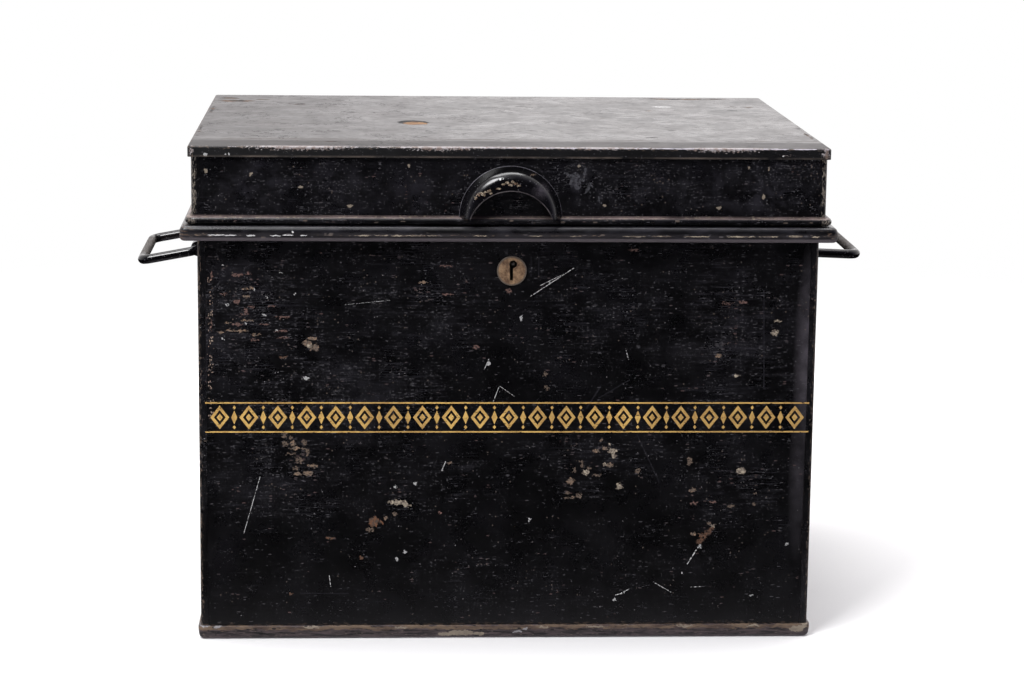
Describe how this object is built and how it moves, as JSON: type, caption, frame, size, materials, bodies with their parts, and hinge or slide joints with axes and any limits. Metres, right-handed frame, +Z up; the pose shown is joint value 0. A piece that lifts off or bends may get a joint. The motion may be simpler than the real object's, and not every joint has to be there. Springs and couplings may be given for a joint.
{
  "type": "deed box",
  "caption": "Black japanned sheet-steel box for papers with a deep hinged lid, crescent finger pull, brass keyhole disc and a wire drop handle on each end.",
  "frame": {"origin": "centre of the body's flat underside, on the surface the box stands on", "axes": "+X to the right along the front, +Y from front to back, +Z up"},
  "size_m": [0.5032, 0.3513, 0.3303],
  "materials": {
    "japanned_steel": "stoved black japan, glossy, scratched, chipped and rubbed to brown and bare tin along the edges",
    "handle_black": "black japan on round iron rod, rubbed to grey metal on the grip",
    "aged_brass": "dull brown aged brass",
    "bare_iron": "bare, oiled and lightly rusted iron"
  },
  "bodies": {
    "box_body": {"bottom_pan": "japanned_steel", "front_panel": "japanned_steel", "back_panel": "japanned_steel", "left_end": "japanned_steel", "right_end": "japanned_steel", "ledge_front": "japanned_steel", "ledge_back": "japanned_steel", "ledge_left": "japanned_steel", "ledge_right": "japanned_steel", "hinge_strap_left": "japanned_steel", "hinge_strap_right": "japanned_steel", "hinge_rivets": "japanned_steel", "left_handle_plate": "japanned_steel", "left_handle_eye_front": "japanned_steel", "left_handle_eye_back": "japanned_steel", "left_handle_rivets": "japanned_steel", "right_handle_plate": "japanned_steel", "right_handle_eye_front": "japanned_steel", "right_handle_eye_back": "japanned_steel", "right_handle_rivets": "japanned_steel", "keyhole_disc": "aged_brass", "lock_plate": "bare_iron", "lock_case": "bare_iron", "drill_pin": "bare_iron", "lock_ward": "bare_iron", "bolt_stumps": "bare_iron", "bolt_spring": "bare_iron", "lock_rivets": "japanned_steel"},
    "lid": {"lid_top": "japanned_steel", "lid_front": "japanned_steel", "lid_back": "japanned_steel", "lid_left": "japanned_steel", "lid_right": "japanned_steel", "lid_edge_wire": "bare_iron", "finger_pull": "japanned_steel", "strike": "bare_iron", "strike_rivets": "bare_iron"},
    "left_handle": {"left_handle": "handle_black"},
    "right_handle": {"right_handle": "handle_black"},
    "lock_bolt": {"lock_bolt": "bare_iron"}
  },
  "joints": [
    {"name": "lid_hinge", "type": "hinge", "parent": "box_body", "child": "lid", "pos_m": [0, 0.1674, 0.2821], "axis": [-1, 0, 0], "range_deg": [0, 143]},
    {"name": "left_handle_pivot", "type": "hinge", "parent": "box_body", "child": "left_handle", "pos_m": [-0.2098, 0, 0.2442], "axis": [0, 1, 0], "range_deg": [-79.5, 80.5]},
    {"name": "right_handle_pivot", "type": "hinge", "parent": "box_body", "child": "right_handle", "pos_m": [0.2098, 0, 0.2442], "axis": [0, -1, 0], "range_deg": [-87.8, 72.2]},
    {"name": "lock_bolt_slide", "type": "slide", "parent": "box_body", "child": "lock_bolt", "axis": [1, 0, 0], "range_m": [0, 0.0065]}
  ]
}
